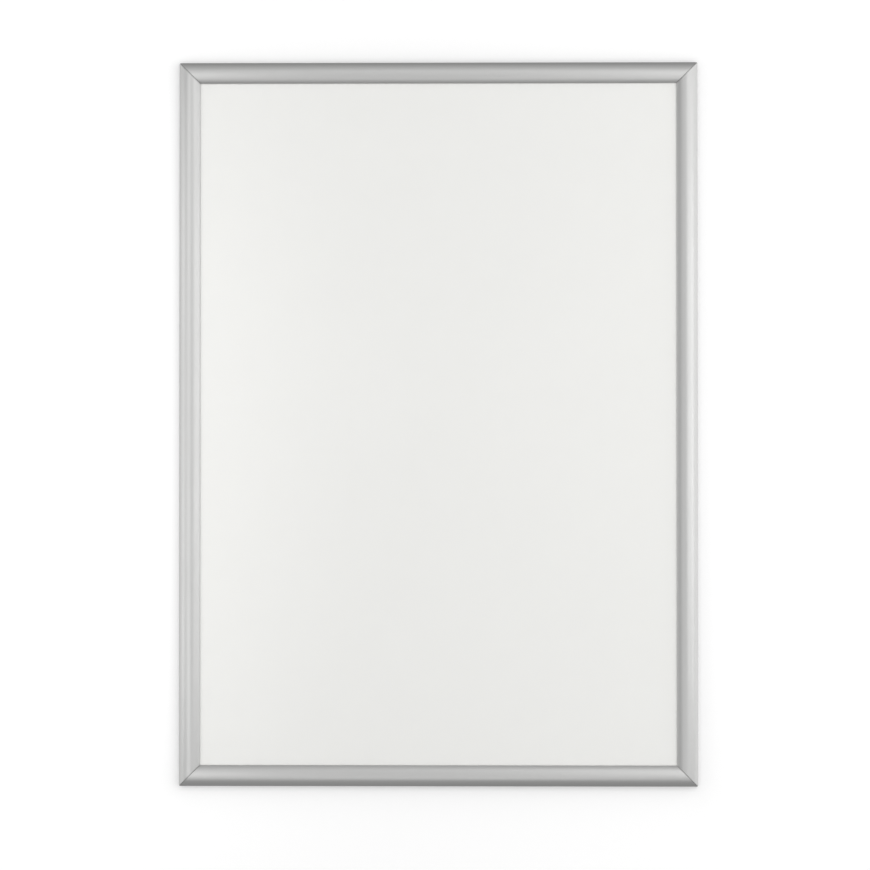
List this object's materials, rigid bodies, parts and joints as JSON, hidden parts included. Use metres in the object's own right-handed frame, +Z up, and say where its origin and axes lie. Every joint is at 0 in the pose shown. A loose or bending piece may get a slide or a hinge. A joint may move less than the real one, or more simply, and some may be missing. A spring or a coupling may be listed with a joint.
{
  "type": "snap poster frame",
  "caption": "Wall-mounted poster frame. Its mitred aluminium rails hinge open and snap shut over a clear sheet and a poster on a back panel.",
  "frame": {"origin": "centre of the pattern of wall screw holes, on the wall, which is also the middle of the frame's back", "axes": "+Z up, +X along the width to the viewer's right, the front faces -Y and the wall is at Y = 0"},
  "size_m": [0.624, 0.012, 0.871],
  "materials": {
    "base_rail": "satin anodised extrusion",
    "snap_rail": "satin anodised extrusion, fine lines along the rail",
    "spring": "bright spring strip",
    "corner_key": "zinc plated",
    "grub_screws": "black oxide",
    "back_panel": "matt white polystyrene",
    "poster": "matt white paper",
    "clear_sheet": "clear, with a fine anti-glare surface"
  },
  "bodies": {
    "frame": {"base_rail_bottom": "base_rail", "base_rail_right": "base_rail", "base_rail_top": "base_rail", "base_rail_left": "base_rail", "spring_bottom_1": "spring", "spring_bottom_2": "spring", "spring_bottom_3": "spring", "spring_right_1": "spring", "spring_right_2": "spring", "spring_right_3": "spring", "spring_right_4": "spring", "spring_top_1": "spring", "spring_top_2": "spring", "spring_top_3": "spring", "spring_left_1": "spring", "spring_left_2": "spring", "spring_left_3": "spring", "spring_left_4": "spring", "corner_key_bottom_right": "corner_key", "corner_key_top_right": "corner_key", "corner_key_top_left": "corner_key", "corner_key_bottom_left": "corner_key", "grub_screws_bottom_right": "grub_screws", "grub_screws_top_right": "grub_screws", "grub_screws_top_left": "grub_screws", "grub_screws_bottom_left": "grub_screws", "back_panel": "back_panel", "poster": "poster", "clear_sheet": "clear_sheet"},
    "bottom_snap": {"snap_rail_bottom": "snap_rail"},
    "right_snap": {"snap_rail_right": "snap_rail"},
    "top_snap": {"snap_rail_top": "snap_rail"},
    "left_snap": {"snap_rail_left": "snap_rail"}
  },
  "joints": [
    {"name": "bottom_rail_hinge", "type": "hinge", "parent": "frame", "child": "bottom_snap", "pos_m": [0, -0.0066, -0.4336], "axis": [1, 0, 0], "range_deg": [0, 90], "deforming": ["spring_bottom_1", "spring_bottom_2", "spring_bottom_3"]},
    {"name": "right_rail_hinge", "type": "hinge", "parent": "frame", "child": "right_snap", "pos_m": [0.3101, -0.0066, 0], "axis": [0, 0, 1], "range_deg": [0, 90], "deforming": ["spring_right_1", "spring_right_2", "spring_right_3", "spring_right_4"]},
    {"name": "top_rail_hinge", "type": "hinge", "parent": "frame", "child": "top_snap", "pos_m": [0, -0.0066, 0.4336], "axis": [-1, 0, 0], "range_deg": [0, 90], "deforming": ["spring_top_1", "spring_top_2", "spring_top_3"]},
    {"name": "left_rail_hinge", "type": "hinge", "parent": "frame", "child": "left_snap", "pos_m": [-0.3101, -0.0066, 0], "axis": [0, 0, -1], "range_deg": [0, 90], "deforming": ["spring_left_1", "spring_left_2", "spring_left_3", "spring_left_4"]}
  ]
}
